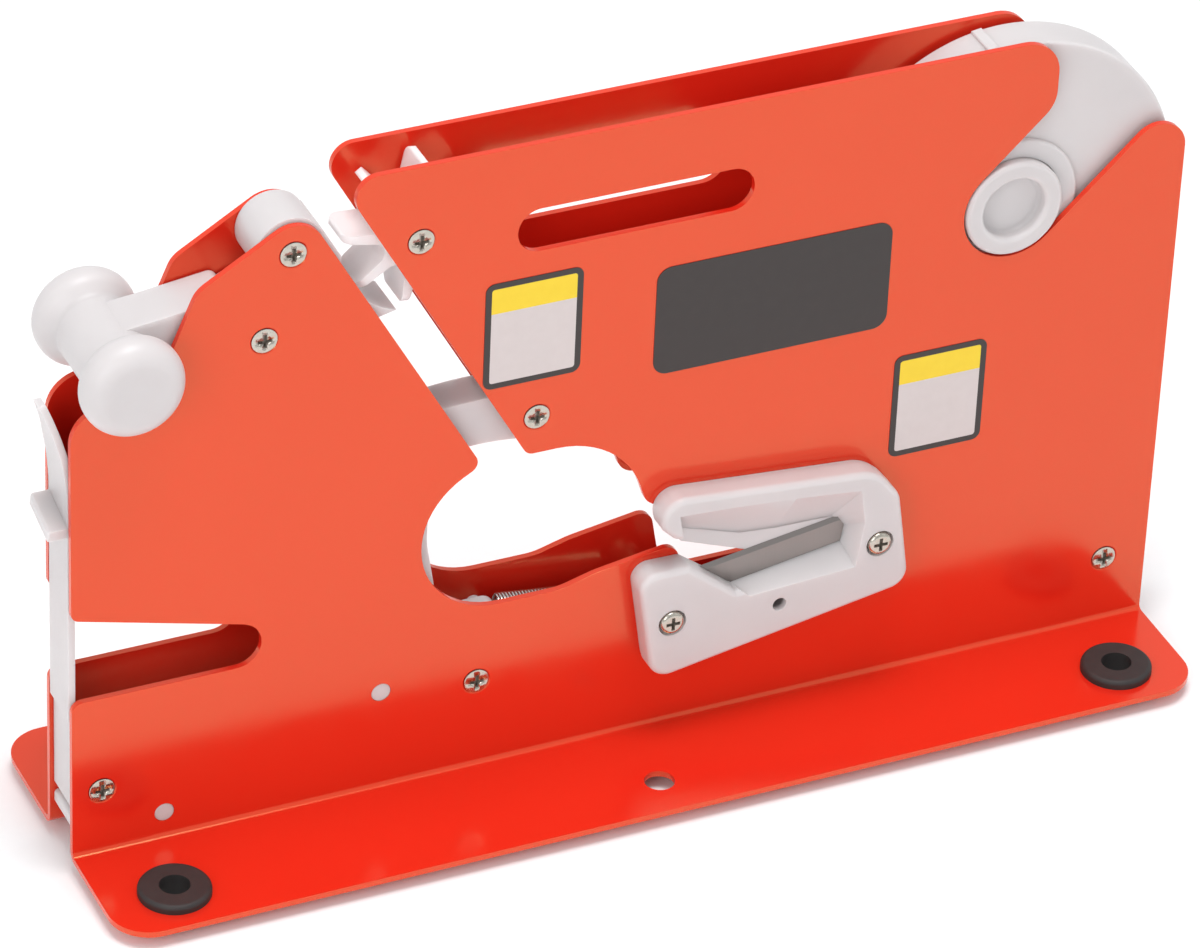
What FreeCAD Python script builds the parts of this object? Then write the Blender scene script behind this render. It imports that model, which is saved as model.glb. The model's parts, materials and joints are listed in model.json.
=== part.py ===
import FreeCAD, Part
import math
import os

# Bag neck sealer: two folded steel plates on rubber feet, with the tape reel, the roller wheel,
# the gate, the levers and the blades between them. Millimetres and degrees throughout.
#
# Plate coordinates (u, Y, v): u runs right from the plates' left end, Y runs back from the middle
# of the gap between the plates, and v runs up from the top face of the flanges. Pieces are drawn
# in plate coordinates and moved at the end: the origin lies on the rest surface, halfway between
# the plates and halfway along the overall length, from the tab lever's tip to the right end.

# Plates and flanges
plate_length = 250.0
plate_height = 152.5
sheet = 1.4
plate_gap = 12.0
bend_radius = 1.2
flange_width = 30.0
flange_corner = 9.0
foot_drop = 3.0

# Clearances
seat_gap = 0.3
pivot_gap = 0.15
thread_gap = 0.05

# Bag slot: a straight slot that runs up and to the left from the throat to the top edge
slot_foot = (90.1, 76.9)
slot_lean = 60.3
slot_width = 8.9
slot_foot_corner = 2.5
slot_mouth_corner = 5.0

# Throat: the round opening below the bag slot, and the tongue that forms its lower lip
throat_left = (95.4, 58.8)
throat_left_radius = 18.3
throat_left_start = 120.0
throat_right = (107.0, 56.2)
throat_right_radius = 20.7
throat_right_end = 18.0
tongue_bend = (109.2, 12.0)
tongue_rise = (117.1, 42.7, 20.0)
tongue_tip = (135.8, 45.7, 3.3)

# Trimming pocket behind the cutter guard
pocket_left = (138.8, 3.0)
pocket_right = (168.0, 4.0)
pocket_floor = 29.5
pocket_back = (171.0, 46.0, 5.0)
pocket_lip = (128.3, 57.6, 4.6)

# Wedge notch in the left edge
notch_floor = 39.0
notch_slope = 15.3
notch_end = 36.2
notch_end_radius = 5.5
notch_lower_corner = 2.5
notch_upper_corner = 2.1

# Left lobe, measured down from the plates' top edge
shoulder_drop = 41.7
shoulder_width = 17.5
shoulder_corner = 8.0
shoulder_inner_corner = 7.5
lobe_width = 27.0
lobe_drop = 19.2
lobe_corner = 6.0
nose_drop = 5.3
nose_corner = 6.8

# Reel seat: an open slot in the top right corner that holds the reel's axle
reel_inset = 39.8
reel_drop = 39.7
seat_lean = 44.0
seat_radius = 11.7
seat_shoulder = 8.0
seat_tip_corner = 6.4
seat_inner_corner = 7.5
top_corner = 8.0

# Carrying handle slot
handle_left = 96.4
handle_length = 52.8
handle_drop = 20.7
handle_half_height = 5.05
handle_rear_extra = 1.0

# Spacer posts, screws and their places
post_radius = 3.0
screw_radius = 1.45
screw_reach = 5.0
sunk_head_radius = 3.1
head_dome = 0.35
pan_head_radius = 2.75
pan_head_height = 2.0
recess_length = 3.2
recess_width = 0.8
recess_depth = 1.2
nose_post_inset = 6.8
nose_post_drop = 14.6
star_post_inset = 6.8
star_post_drop = 17.8
knife_post_inset = 6.1
knife_post_rise = 9.0
lever_post_inset = 21.5
lever_post_drop = 33.8
right_post_inset = 10.2
right_post_height = 15.9
gate_post = (90.6, 21.6)
block_post = (6.6, 15.5)
guard_post_left = (132.6, 30.2)
guard_post_right = (180.8, 38.7)

# Feet and the fixing holes in the flanges
foot_inset = 15.5
foot_offset = 26.1
foot_radius = 7.8
foot_neck_radius = 5.0
foot_hole_radius = 3.3
foot_dome = 2.0
foot_rim = 1.0
fixing_hole_offset = 27.2
fixing_hole_radius = 3.3

# Nose guide: its toe and heel are given across the slot and down along it from the wheel's post
guide_radius = 7.5
guide_cheek = 7.7
guide_relief = 0.6
guide_toe = (6.5, 12.7)
guide_heel = (-2.8, 10.0, 1.0)
guide_back = 7.5
guide_back_corner = 4.0

# Roller wheel with paddle teeth
star_teeth = 8
star_phase = 82.0
star_radius = 16.2
star_root_radius = 4.2
star_root_corner = 2.4
star_tip_half_width = 0.8
star_tip_corner = 0.7
star_width = 10.2
star_hub_radius = 6.0
star_edge_round = 2.6

# Clamp lever with its crossbar grip
lever_hub_radius = 10.9
lever_width = 11.0
lever_bar_inset = 10.8
lever_bar_gap = 0.2
lever_bar_radius = 8.0
lever_knob_radius = 11.0
lever_knob_start = 8.4
lever_knob_full = 11.5
lever_bar_half_length = 18.0
lever_neck_corner = 2.0
lever_knob_corner = 4.0
lever_end_corner = 4.4
lever_arm_top = 8.6
lever_arm_root = 11.0
lever_arm_low = 1.4
lever_arm_start = 6.5
lever_arm_slim = 12.3

# Gate: a swinging sector that closes the foot of the bag slot, and its tension spring. The spine's
# edges and the ear are given from the gate's post.
gate_hub_radius = 8.5
gate_hub_width = 11.4
gate_width = 9.0
gate_radius = 69.5
gate_inner_radius = 58.5
gate_right_lean = 10.0
gate_neck_lean = 9.0
gate_spine_left = [(-17.1, 22.2, 9.5), (-19.1, 36.4, 19.0), (-17.9, 56.5, 19.0)]
gate_spine_right = [(-10.7, 57.5, 1.2), (-11.1, 36.4, 19.0), (-8.7, 22.2, 8.0)]
gate_ear = (2.4, 13.9)
gate_ear_width = 5.6
gate_ear_radius = 3.1
gate_peg_radius = 1.1
gate_peg_head_radius = 1.7
gate_peg_head = 0.6
gate_ear_groove = 2.0
spring_radius = 2.5
spring_wire_radius = 0.35
spring_lead = 3.0

# Tape knife and its holder, which is clamped on a post right of the gate
holder_ring_radius = 5.0
holder_web_offset = 1.0
holder_width = 9.0
holder_arm_setback = 2.5
holder_arm_gap = 0.8
holder_arm_height = 8.0
holder_corner = 1.5
knife_sheet = 0.5
knife_depth = 8.0
knife_width = 10.0
knife_setback = 1.0
knife_rise = 2.4
knife_teeth = 10
knife_tooth_depth = 0.8

# Base block between the plates, and the pins that show in the plates
block_left = 0.8
block_right = 76.0
block_floor = 2.0
block_height = 29.0
block_tower_height = 33.2
block_tower_width = 3.0
block_corner = 2.0
block_tower_corner = 1.0
block_wall = 2.5
block_pocket_left = 26.0
block_pocket_right = 62.0
block_lip_floor = 5.2
block_lip_top = 8.3
block_groove_height = 2.2
block_groove_depth = 1.8
pin_right = (68.8, 24.3)
pin_left = (20.4, 6.1)
pin_radius = 2.15

# Tab lever at the left end, hinged in the base block
tab_pivot = (5.4, 26.5)
tab_pin_radius = 1.5
tab_knuckle_radius = 3.0
tab_tongue_width = 2.4
tab_tongue_gap = 0.6
tab_tongue_rise = 1.1
tab_sheet = 1.5
tab_width = 11.0
tab_foot_gap = 0.4
tab_curl_drop = 24.8
tab_curl_radius = 65.0
tab_curl_turn = 21.5
tab_taper_length = 11.0
tab_tip_width = 3.6
tab_ledge_drop = 28.8
tab_ledge_tilt = 3.0
tab_ledge_reach = 4.3
tab_ledge_sheet = 3.0

# Cutter guard on the front plate: a thin back, and a cover with the blade between the two. The
# cover's mouth opens out from its outline at the back to a wider one at the front.
guard_depth = 6.5
guard_back_sheet = 1.4
guard_step = 0.3
guard_round = 1.4
guard_outer = [
    (129.3, 61.8, 5.0),
    (179.3, 57.5, 10.0),
    (185.1, 50.0, 6.0),
    (188.7, 26.5, 4.5),
    (128.7, 15.65, 4.5),
    (124.3, 43.6, 4.0),
]
guard_cover_mouth = [
    (136.2, 43.4, 1.6),
    (147.5, 34.3, 0.8),
    (173.2, 39.1, 1.5),
    (173.9, 44.6, 3.2),
    (150.5, 45.4, 10.0),
    (136.8, 50.4, 1.0),
    (132.5, 51.3, 2.0),
    (129.3, 54.5, 3.0),
]
guard_back_mouth = [
    (136.2, 43.4, 1.6),
    (147.6, 34.6, 0.8),
    (157.7, 36.5, 0.8),
    (157.7, 38.4, 0.8),
    (135.9, 46.9, 1.5),
    (129.3, 54.5, 4.0),
]
guard_flare_back = [
    (136.6, 48.0),
    (136.2, 50.6),
    (149.6, 46.0),
    (158.0, 45.2),
    (171.2, 44.9),
    (173.7, 42.2),
    (173.2, 39.1),
    (147.5, 34.3),
    (139.0, 42.6),
]
guard_flare_front = [
    (134.6, 48.8),
    (133.1, 57.4),
    (144.7, 56.7),
    (160.1, 55.4),
    (175.6, 53.6),
    (176.9, 45.0),
    (175.2, 34.0),
    (150.5, 32.7),
    (139.0, 42.6),
]
guard_hole = (157.7, 28.7)
guard_hole_radius = 1.6
guard_hole_wall = 1.6
guard_hole_pocket = 3.2
guard_sink = 1.5
guard_sink_radius = 3.2

# Trimming blade between the guard's back and its cover
blade_start = (135.0, 38.8)
blade_length = 42.0
blade_lean = 9.1
blade_width = 9.0
blade_sheet = 0.6
blade_bevel = 1.1

# Tape reel: drum on its lift-out axle
axle_radius = 11.2
axle_half_length = 8.0
axle_dish_radius = 7.2
axle_dish_depth = 3.0
axle_round = 1.0
drum_radius = 38.2
drum_rim = 3.0
drum_width = 9.5
drum_web = 2.0
drum_hub_radius = 15.5
drum_hub_gap = 0.25
drum_catches = 3
drum_catch_phase = 99.0
drum_catch_height = 0.8
drum_catch_width = 2.4
drum_round = 0.6

# Blank nameplate and blank labels on the front plate
label_sheet = 0.15
label_width = 21.7
label_height = 25.6
label_corner = 2.0
upper_label_left = 89.7
upper_label_rise = 9.4
lower_label_left = 184.6
lower_label_floor = 55.8
nameplate_width = 53.7
nameplate_height = 26.2
nameplate_corner = 3.3
nameplate_drop = 36.3

# Values that follow from the sizes above
inner_face = plate_gap / 2
outer_face = inner_face + sheet
reel_axis = (plate_length - reel_inset, plate_height - reel_drop)
shoulder_height = plate_height - shoulder_drop
tiny = 1e-6


def vec(u, y, v):
    return FreeCAD.Vector(u, y, v)


def turned(centre, radius, angle):
    """Point (u, v) at a radius and an angle about a centre."""
    u = centre[0] + radius * math.cos(math.radians(angle))
    v = centre[1] + radius * math.sin(math.radians(angle))
    return (u, v)


def from_slot(across, along):
    """Point (u, v) given across and along the bag slot, from the foot of its left edge."""
    lean = math.radians(slot_lean)
    u = slot_foot[0] + across * math.sin(lean) - along * math.cos(lean)
    v = slot_foot[1] + across * math.cos(lean) + along * math.sin(lean)
    return (u, v)


def on_slot(across, height):
    """Point (u, v) at a height, that far to the right of the bag slot's left edge."""
    lean = math.radians(slot_lean)
    along = (height - slot_foot[1] - across * math.cos(lean)) / math.sin(lean)
    return from_slot(across, along)


def slot_along(point):
    """How far a point (u, v) lies up along the bag slot from its foot."""
    lean = math.radians(slot_lean)
    return (slot_foot[0] - point[0]) * math.cos(lean) + (point[1] - slot_foot[1]) * math.sin(lean)


nose_post = on_slot(-nose_post_inset, plate_height - nose_post_drop)
lever_post = on_slot(-lever_post_inset, plate_height - lever_post_drop)
star_post = on_slot(slot_width + star_post_inset, plate_height - star_post_drop)
knife_post = on_slot(slot_width + knife_post_inset, slot_foot[1] + knife_post_rise)
right_post = (plate_length - right_post_inset, right_post_height)
tab_tip = turned((-tab_curl_radius, shoulder_height - tab_curl_drop), tab_curl_radius, tab_curl_turn)
origin_u = (plate_length + tab_tip[0]) / 2
plate_posts = [nose_post, lever_post, star_post, knife_post, right_post, gate_post, block_post]
guard_posts = [guard_post_left, guard_post_right]


def rounded(corners, place):
    """Closed wire through corners (a, b, radius), each rounded, in the plane that place() gives."""
    rounds = []
    for index, (a, b, radius) in enumerate(corners):
        before = corners[index - 1]
        after = corners[(index + 1) % len(corners)]
        here = FreeCAD.Vector(a, b, 0)
        back = (FreeCAD.Vector(before[0], before[1], 0) - here).normalize()
        ahead = (FreeCAD.Vector(after[0], after[1], 0) - here).normalize()
        if radius == 0:
            rounds.append((here, here, here, 0))
            continue
        half = back.getAngle(ahead) / 2
        reach = radius / math.tan(half)
        crown = (back + ahead).normalize() * (radius / math.sin(half) - radius)
        rounds.append((here + back * reach, here + crown, here + ahead * reach, radius))
    edges = []
    for index, (start, crown, end, radius) in enumerate(rounds):
        last = rounds[index - 1][2]
        if last.distanceToPoint(start) > tiny:
            edges.append(Part.LineSegment(place(last.x, last.y), place(start.x, start.y)).toShape())
        if radius > 0:
            arc = Part.Arc(place(start.x, start.y), place(crown.x, crown.y), place(end.x, end.y))
            edges.append(arc.toShape())
    return Part.Wire(edges)


def slab(corners, y_low, y_high):
    """Outline in (u, v) with rounded corners, extruded along Y."""
    wire = rounded(corners, lambda u, v: vec(u, y_low, v))
    return Part.Face(wire).extrude(vec(0, y_high - y_low, 0))


def rod(centre, radius, y_low, y_high):
    """Cylinder along Y."""
    return Part.makeCylinder(radius, y_high - y_low, vec(centre[0], y_low, centre[1]), vec(0, 1, 0))


def cone(centre, wide, narrow, y):
    """Cone of 90 degrees that narrows along +Y from a height y."""
    return Part.makeCone(wide, narrow, wide - narrow, vec(centre[0], y, centre[1]), vec(0, 1, 0))


def spun(corners, centre):
    """Profile (Y, radius, corner) turned about the line along Y through a centre (u, v)."""
    wire = rounded(corners, lambda y, r: vec(centre[0] + r, y, centre[1]))
    return Part.Face(wire).revolve(vec(centre[0], 0, centre[1]), vec(0, 1, 0), 360)


def block(u_low, u_high, y_low, y_high, v_low, v_high):
    corner = vec(u_low, y_low, v_low)
    return Part.makeBox(u_high - u_low, y_high - y_low, v_high - v_low, corner)


def mirrored(shape):
    """The same shape on the other side of the gap."""
    return shape.mirror(vec(0, 0, 0), vec(0, 1, 0))


def fused(shapes):
    return shapes[0].multiFuse(shapes[1:]).removeSplitter()


def arc_corners(centre, radius, start, end, count):
    """Corners that a rounding of the same radius turns into one arc about a centre."""
    step = (end - start) / count
    reach = radius / math.cos(math.radians(step / 2))
    corners = []
    for index in range(count):
        u, v = turned(centre, reach, start + (index + 0.5) * step)
        corners.append((u, v, radius))
    return corners


def reel_seat_corners():
    """Corners of the reel seat, from the top edge down the seat and up to the right end."""
    slope = math.tan(math.radians(seat_lean))
    shoulder_u = reel_axis[0] + seat_shoulder
    upper = turned(reel_axis, seat_radius, seat_lean + 90)
    lower = turned(reel_axis, seat_radius, seat_lean - 90)
    shoulder_v = upper[1] + (shoulder_u - upper[0]) * slope
    tip_v = lower[1] + (plate_length - lower[0]) * slope
    corners = [(shoulder_u, plate_height, top_corner), (shoulder_u, shoulder_v, seat_inner_corner)]
    corners += arc_corners(reel_axis, seat_radius, seat_lean + 90, seat_lean + 270, 2)
    corners.append((plate_length, tip_v, seat_tip_corner))
    return corners


def notch_corners():
    """Corners of the wedge notch in the left edge, from below."""
    apex = notch_end + notch_end_radius / math.tan(math.radians(notch_slope / 2))
    roof = notch_floor + apex * math.tan(math.radians(notch_slope))
    return [
        (0, notch_floor, notch_lower_corner),
        (apex, notch_floor, notch_end_radius),
        (0, roof, notch_upper_corner),
    ]


def throat_corners():
    """Corners of the throat, the tongue and the trimming pocket, from the bag slot's left edge."""
    floor = throat_left[1] - throat_left_radius
    roof = throat_right[1] + throat_right_radius
    foot = turned(throat_left, throat_left_radius, throat_left_start)
    tangent = math.radians(throat_left_start - 90)
    lean = math.radians(slot_lean)
    # The left edge of the slot meets the throat's tangent at the foot corner.
    run = (slot_foot[0] - foot[0]) * math.sin(lean) + (slot_foot[1] - foot[1]) * math.cos(lean)
    run = run / (math.cos(tangent) * math.sin(lean) + math.sin(tangent) * math.cos(lean))
    corner = (foot[0] + run * math.cos(tangent), foot[1] + run * math.sin(tangent))
    corners = [(corner[0], corner[1], slot_foot_corner)]
    corners += arc_corners(throat_left, throat_left_radius, throat_left_start, 270, 2)
    corners.append((tongue_bend[0], floor, tongue_bend[1]))
    corners += [tongue_rise, tongue_tip]
    corners.append((pocket_left[0], pocket_floor, pocket_left[1]))
    corners.append((pocket_right[0], pocket_floor, pocket_right[1]))
    corners += [pocket_back, pocket_lip]
    corners += arc_corners(throat_right, throat_right_radius, throat_right_end, 90, 1)
    slot_right = on_slot(slot_width, roof)
    corners.append((slot_right[0], roof, slot_foot_corner))
    return corners


def plate_corners():
    """Outline of a side plate above its bend, clockwise from the lower left corner."""
    nose = on_slot(0, plate_height - nose_drop)
    mouth = on_slot(slot_width, plate_height)
    corners = [(0, bend_radius, 0)]
    corners += notch_corners()
    corners.append((0, shoulder_height, shoulder_corner))
    corners.append((shoulder_width, shoulder_height, shoulder_inner_corner))
    corners.append((lobe_width, plate_height - lobe_drop, lobe_corner))
    corners.append((nose[0], nose[1], nose_corner))
    corners += throat_corners()
    corners.append((mouth[0], mouth[1], slot_mouth_corner))
    corners += reel_seat_corners()
    corners.append((plate_length, bend_radius, 0))
    return corners


def flange():
    """Flange and bend of the front plate: the bend turns out of the plate's lower edge."""
    bend_y = -outer_face - bend_radius
    outline = [
        (0, bend_y, 0),
        (0, -outer_face - flange_width, flange_corner),
        (plate_length, -outer_face - flange_width, flange_corner),
        (plate_length, bend_y, 0),
    ]
    wire = rounded(outline, lambda u, y: vec(u, y, -sheet))
    flat = Part.Face(wire).extrude(vec(0, 0, sheet))
    start = vec(0, bend_y, bend_radius)
    along = vec(1, 0, 0)
    outer = Part.makeCylinder(bend_radius + sheet, plate_length, start, along)
    inner = Part.makeCylinder(bend_radius, plate_length, start, along)
    quarter = block(0, plate_length, bend_y, -inner_face, -sheet, bend_radius)
    bend = outer.cut(inner).common(quarter)
    for foot_u in (foot_inset, plate_length - foot_inset):
        flat = flat.cut(upright(foot_u, -foot_offset, foot_neck_radius))
    flat = flat.cut(upright(plate_length / 2, -fixing_hole_offset, fixing_hole_radius))
    return [flat, bend]


def upright(u, y, radius):
    """Cylinder through a flange."""
    return Part.makeCylinder(radius, 3 * sheet, vec(u, y, -2 * sheet))


def handle_cut(extra):
    """Slot for the hand that carries the sealer, deepened downwards by an extra height."""
    half = handle_half_height + extra / 2
    height = plate_height - handle_drop - extra / 2
    left = (handle_left + half, height)
    right = (handle_left + handle_length - half, height)
    ends = [rod(left, half, -outer_face, -inner_face)]
    ends.append(rod(right, half, -outer_face, -inner_face))
    ends.append(block(left[0], right[0], -outer_face, -inner_face, height - half, height + half))
    return fused(ends)


def sink_cut(centre):
    """Countersunk hole through the front plate."""
    wide = sunk_head_radius + thread_gap
    return cone(centre, wide, wide - sheet, -outer_face)


def side_plate(sunk, plain, handle_extra):
    """Front plate with countersunk and plain holes. The rear plate is made in its mirror image."""
    shape = fused([slab(plate_corners(), -outer_face, -inner_face)] + flange())
    shape = shape.cut(handle_cut(handle_extra))
    for centre in sunk:
        shape = shape.cut(sink_cut(centre))
    for centre in plain:
        shape = shape.cut(rod(centre, screw_radius + thread_gap, -outer_face, -inner_face))
    for centre in (pin_left, pin_right):
        shape = shape.cut(rod(centre, pin_radius + thread_gap, -outer_face, -inner_face))
    return shape


def spacer_posts():
    """Standoffs that hold the plates apart, threaded right through."""
    posts = []
    flare = sunk_head_radius + thread_gap - sheet
    bore = screw_radius + thread_gap
    for centre in plate_posts + guard_posts:
        post = rod(centre, post_radius, -inner_face, inner_face)
        post = post.cut(rod(centre, bore, -inner_face, inner_face))
        lead_in = cone(centre, flare, bore, -inner_face)
        posts.append(post.cut(lead_in).cut(mirrored(lead_in)))
    return Part.makeCompound(posts)


def cross_recess(centre, y):
    """Cross-shaped driver recess that sinks along +Y from a height y."""
    long = recess_length / 2
    thin = recess_width / 2
    low = y + recess_depth
    along = block(centre[0] - long, centre[0] + long, y, low, centre[1] - thin, centre[1] + thin)
    across = block(centre[0] - thin, centre[0] + thin, y, low, centre[1] - long, centre[1] + long)
    return along.fuse(across)


def sunk_screw(centre):
    """Raised countersunk screw in the front plate, driven into a post."""
    top = -outer_face - head_dome
    bulge = (sunk_head_radius ** 2 + head_dome ** 2) / (2 * head_dome)
    ball = Part.makeSphere(bulge, vec(centre[0], top + bulge, centre[1]))
    dome = ball.common(rod(centre, sunk_head_radius, top - sheet, -outer_face))
    taper = cone(centre, sunk_head_radius, screw_radius, -outer_face)
    neck = sunk_head_radius - screw_radius
    shank = rod(centre, screw_radius, -outer_face + neck, -inner_face + screw_reach)
    return fused([dome, taper, shank]).cut(cross_recess(centre, top))


def pan_screw(centre):
    """Pan head screw that holds the cutter guard, driven into a post."""
    seat = -outer_face - guard_depth + guard_sink
    head = [
        (seat - pan_head_height, 0, 0),
        (seat - pan_head_height, pan_head_radius, pan_head_height / 2),
        (seat, pan_head_radius, 0),
        (seat, 0, 0),
    ]
    shank = rod(centre, screw_radius, seat, -inner_face + screw_reach)
    return fused([spun(head, centre), shank]).cut(cross_recess(centre, seat - pan_head_height))


def foot(u, y):
    """Rubber grommet foot pushed through a flange hole."""
    low = -sheet - foot_drop
    corners = [
        (foot_hole_radius, low, 0),
        (foot_radius - foot_rim, low, 0),
        (foot_radius, low + foot_rim, 0),
        (foot_radius, -sheet, 0),
        (foot_neck_radius, -sheet, 0),
        (foot_neck_radius, 0, 0),
        (foot_radius, 0, 0),
        (foot_radius, foot_dome, foot_rim),
        (foot_hole_radius, foot_dome, 0),
    ]
    wire = rounded(corners, lambda r, v: vec(u + r, y, v))
    return Part.Face(wire).revolve(vec(u, y, 0), vec(0, 0, 1), 360)


def nose_guide():
    """Fixed guide beside the roller wheel: a round nose on its post and a curved toe below it."""
    post_along = slot_along(nose_post)
    wheel_along = slot_along(star_post)
    cheek = guide_cheek - nose_post_inset
    toe_across, toe_drop = guide_toe
    heel_across, heel_drop, heel_corner = guide_heel
    slot_corners = [
        (cheek, post_along, 0),
        (cheek, wheel_along, 0),
        (toe_across, wheel_along - toe_drop / 2, 0),
        (toe_across, wheel_along - toe_drop, 0),
        (heel_across, wheel_along - heel_drop, heel_corner),
        (-guide_back, wheel_along - heel_drop + heel_corner, guide_back_corner),
        (-guide_back - guide_radius / 2, post_along, 0),
    ]
    corners = []
    for across, along, radius in slot_corners:
        u, v = from_slot(across, along)
        corners.append((u, v, radius))
    half = inner_face - seat_gap
    body = fused([slab(corners, -half, half), rod(nose_post, guide_radius, -half, half)])
    body = body.cut(rod(star_post, star_radius + guide_relief, -half, half))
    return body.cut(rod(nose_post, post_radius + thread_gap, -half, half))


def star_wheel():
    """Roller wheel: paddle teeth on a hub that turns on its post."""
    corners = []
    pitch = 360 / star_teeth
    for index in range(star_teeth):
        angle = star_phase - index * pitch
        lean = math.degrees(math.asin(star_tip_half_width / star_radius))
        valley = turned(star_post, star_root_radius, angle + pitch / 2)
        left = turned(star_post, star_radius, angle + lean)
        right = turned(star_post, star_radius, angle - lean)
        corners.append((valley[0], valley[1], star_root_corner))
        corners.append((left[0], left[1], star_tip_corner))
        corners.append((right[0], right[1], star_tip_corner))
    half = star_width / 2
    hub_half = inner_face - seat_gap
    barrel = [
        (-half, 0, 0),
        (-half, star_radius, star_edge_round),
        (half, star_radius, star_edge_round),
        (half, 0, 0),
    ]
    teeth = slab(corners, -half, half).common(spun(barrel, star_post))
    wheel = fused([teeth, rod(star_post, star_hub_radius, -hub_half, hub_half)])
    return wheel.cut(rod(star_post, post_radius + pivot_gap, -hub_half, hub_half))


def clamp_lever():
    """Lever on its post, with a crossbar grip that rests above the plates' shoulder."""
    bar = (lever_bar_inset, shoulder_height + lever_bar_radius + lever_bar_gap)
    half = lever_width / 2
    arm = [
        (bar[0], bar[1] + lever_bar_radius - seat_gap, 0),
        (bar[0] + lever_bar_radius, bar[1] + lever_arm_top, lever_arm_top),
        (lever_post[0] - lever_arm_start, lever_post[1] + lever_arm_root, lever_neck_corner),
        (lever_post[0], lever_post[1], 0),
        (lever_post[0] - lever_arm_slim, lever_post[1] + lever_arm_low, 0),
        (bar[0], bar[1] - lever_arm_low, 0),
    ]
    grip = [
        (-lever_bar_half_length, 0, 0),
        (-lever_bar_half_length, lever_knob_radius, lever_end_corner),
        (-lever_knob_full, lever_knob_radius, lever_knob_corner),
        (-lever_knob_start, lever_bar_radius, lever_neck_corner),
        (lever_knob_start, lever_bar_radius, lever_neck_corner),
        (lever_knob_full, lever_knob_radius, lever_knob_corner),
        (lever_bar_half_length, lever_knob_radius, lever_end_corner),
        (lever_bar_half_length, 0, 0),
    ]
    shapes = [spun(grip, bar), slab(arm, -half, half), rod(lever_post, lever_hub_radius, -half, half)]
    return fused(shapes).cut(rod(lever_post, post_radius + pivot_gap, -half, half))


def gate_ear_point():
    return (gate_post[0] + gate_ear[0], gate_post[1] + gate_ear[1])


def gate_arm():
    """Gate on its post: a bowed spine that carries the sector, with an ear and peg for the spring."""
    ear = gate_ear_point()
    above = gate_radius + gate_hub_radius
    right_top = turned(gate_post, above, 90 - gate_right_lean)
    right = turned(gate_post, gate_inner_radius, 90 - gate_right_lean)
    corners = [(gate_post[0] - gate_hub_radius, gate_post[1], 0)]
    corners += [(gate_post[0] + u, gate_post[1] + v, radius) for u, v, radius in gate_spine_left]
    corners.append((gate_post[0] + gate_spine_left[-1][0], gate_post[1] + above, 0))
    corners += [(right_top[0], right_top[1], 0), (right[0], right[1], 0)]
    corners += arc_corners(gate_post, gate_inner_radius, 90 - gate_right_lean, 90 + gate_neck_lean, 1)
    corners += [(gate_post[0] + u, gate_post[1] + v, radius) for u, v, radius in gate_spine_right]
    corners.append((ear[0] - gate_ear_width - gate_ear_radius, ear[1] + gate_ear_radius, gate_ear_radius))
    corners.append((ear[0] + gate_ear_radius, ear[1] + gate_ear_radius, gate_ear_radius))
    corners.append((gate_post[0] + gate_hub_radius, gate_post[1], 0))
    half = gate_width / 2
    hub_half = gate_hub_width / 2
    body = slab(corners, -half, half).common(rod(gate_post, gate_radius, -half, half))
    body = body.cut(rod(knife_post, holder_ring_radius + seat_gap, -half, half))
    body = fused([body, rod(gate_post, gate_hub_radius, -hub_half, hub_half)])
    groove = gate_ear_groove / 2
    reach = gate_ear_radius + spring_radius
    ear_left = ear[0] - gate_ear_width - gate_ear_radius
    behind = block(ear_left, ear[0] + reach, -groove, half, ear[1] - gate_ear_radius, ear[1] + reach)
    peg = rod(ear, gate_peg_radius, -groove, groove)
    head = rod(ear, gate_peg_head_radius, groove, groove + gate_peg_head)
    body = fused([body.cut(behind), peg, head])
    return body.cut(rod(gate_post, post_radius + pivot_gap, -hub_half, hub_half))


def gate_spring():
    """Tension spring from the gate's ear to the cutter guard's left post, as an enveloping tube."""
    start = vec(gate_ear_point()[0], 0, gate_ear_point()[1])
    end = vec(guard_post_left[0], 0, guard_post_left[1])
    line = (end - start).normalize()
    wire = spring_wire_radius
    eye = gate_peg_radius + wire + pivot_gap
    loop = post_radius + wire + pivot_gap
    shapes = [
        Part.makeTorus(eye, wire, start, vec(0, 1, 0)),
        Part.makeTorus(loop, wire, end, vec(0, 1, 0)),
    ]
    coil_start = start + line * (eye + spring_lead)
    coil_end = end - line * (loop + spring_lead)
    coil_length = (coil_end - coil_start).Length
    coil = Part.makeCylinder(spring_radius, coil_length, coil_start, line)
    hollow_start = coil_start + line * (2 * wire)
    hollow = Part.makeCylinder(spring_radius - 2 * wire, coil_length - 4 * wire, hollow_start, line)
    shapes.append(coil.cut(hollow))
    shapes.append(Part.makeCylinder(wire, spring_lead + wire, start + line * eye, line))
    shapes.append(Part.makeCylinder(wire, spring_lead + wire, coil_end - line * wire, line))
    return fused(shapes)


def holder_arm_floor():
    return gate_post[1] + gate_radius + holder_arm_gap


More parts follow.
